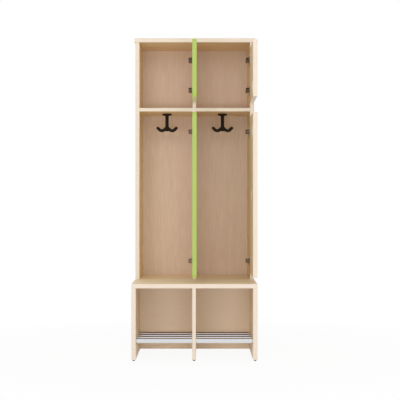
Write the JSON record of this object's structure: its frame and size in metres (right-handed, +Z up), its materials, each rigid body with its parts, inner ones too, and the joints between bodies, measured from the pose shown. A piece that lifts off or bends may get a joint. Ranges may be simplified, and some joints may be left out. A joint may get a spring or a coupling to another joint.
{
  "type": "locker unit with bench and shoe rack",
  "caption": "Free-standing maple cloakroom locker: hinged doors over hanging spaces and cubbies, double coat hooks, a low bench and shoe bays with a metal rack.",
  "frame": {"origin": "on the floor under the middle of the bench's width and depth", "axes": "+X to the right seen from the front, +Y to the back, +Z up"},
  "size_m": [0.518, 0.5, 1.346],
  "materials": {
    "maple_board": "melamine faced, fine grain, satin",
    "maple_edge": "plastic edge band, maple print, satin",
    "back_board": "thin faced fibreboard, satin",
    "green_board": "melamine faced, lime green, satin",
    "green_edge": "plastic edge band, lime green, satin",
    "hinge_nickel": "nickel plated",
    "screw_steel": "zinc plated",
    "rack_metal": "chrome plated tube",
    "hook_black": "black, satin",
    "glide_grey": "grey, matte",
    "dowel_wood": "beech, bare"
  },
  "bodies": {
    "carcass": {"base_side_left": "maple_board", "base_side_right": "maple_board", "base_divider": "maple_board", "base_closing_panel": "maple_board", "bench_top": "maple_board", "locker_side_left": "maple_board", "locker_side_right": "maple_board", "locker_divider_lower": "maple_board", "locker_divider_upper": "maple_board", "shelf": "maple_board", "top_panel": "maple_board", "back_panel": "back_board", "edge_bands_base": "maple_edge", "edge_bands_bench": "maple_edge", "edge_bands_locker": "maple_edge", "edge_bands_top": "maple_edge", "base_dowels": "dowel_wood", "seat_dowels": "dowel_wood", "shelf_dowels": "dowel_wood", "divider_dowels": "dowel_wood", "top_dowels": "dowel_wood", "shoe_rack_tube_1": "rack_metal", "shoe_rack_tube_2": "rack_metal", "shoe_rack_tube_3": "rack_metal", "shoe_rack_tube_4": "rack_metal", "hinge_plate_screws": "screw_steel", "hinge_arm_screws": "screw_steel", "coat_hook_screws": "screw_steel", "back_panel_screws": "screw_steel", "coat_hook_left": "hook_black", "coat_hook_right": "hook_black", "hinge_arms_upper_left": "hinge_nickel", "hinge_arms_upper_right": "hinge_nickel", "hinge_arms_lower_left": "hinge_nickel", "hinge_arms_lower_right": "hinge_nickel", "hinge_plates_upper_left": "hinge_nickel", "hinge_plates_upper_right": "hinge_nickel", "hinge_plates_lower_left": "hinge_nickel", "hinge_plates_lower_right": "hinge_nickel", "hinge_pins": "hinge_nickel", "floor_glides": "glide_grey"},
    "upper_left_door": {"door_upper_left": "green_board", "door_band_upper_left": "green_edge", "hinge_cups_upper_left": "hinge_nickel", "cup_screws_upper_left": "screw_steel"},
    "upper_right_door": {"door_upper_right": "maple_board", "door_band_upper_right": "maple_edge", "hinge_cups_upper_right": "hinge_nickel", "cup_screws_upper_right": "screw_steel"},
    "lower_left_door": {"door_lower_left": "green_board", "door_band_lower_left": "green_edge", "hinge_cups_lower_left": "hinge_nickel", "cup_screws_lower_left": "screw_steel"},
    "lower_right_door": {"door_lower_right": "maple_board", "door_band_lower_right": "maple_edge", "hinge_cups_lower_right": "hinge_nickel", "cup_screws_lower_right": "screw_steel"}
  },
  "joints": [
    {"name": "door_upper_left_hinge", "type": "hinge", "parent": "carcass", "child": "upper_left_door", "pos_m": [-0.00075, -0.01225, 1.1875], "axis": [0, 0, 1], "range_deg": [-90, 0]},
    {"name": "door_upper_right_hinge", "type": "hinge", "parent": "carcass", "child": "upper_right_door", "pos_m": [0.24525, -0.01225, 1.1875], "axis": [0, 0, 1], "range_deg": [-90, 0]},
    {"name": "door_lower_left_hinge", "type": "hinge", "parent": "carcass", "child": "lower_left_door", "pos_m": [-0.00075, -0.01225, 0.6725], "axis": [0, 0, 1], "range_deg": [-90, 0]},
    {"name": "door_lower_right_hinge", "type": "hinge", "parent": "carcass", "child": "lower_right_door", "pos_m": [0.24525, -0.01225, 0.6725], "axis": [0, 0, 1], "range_deg": [-90, 0]}
  ]
}
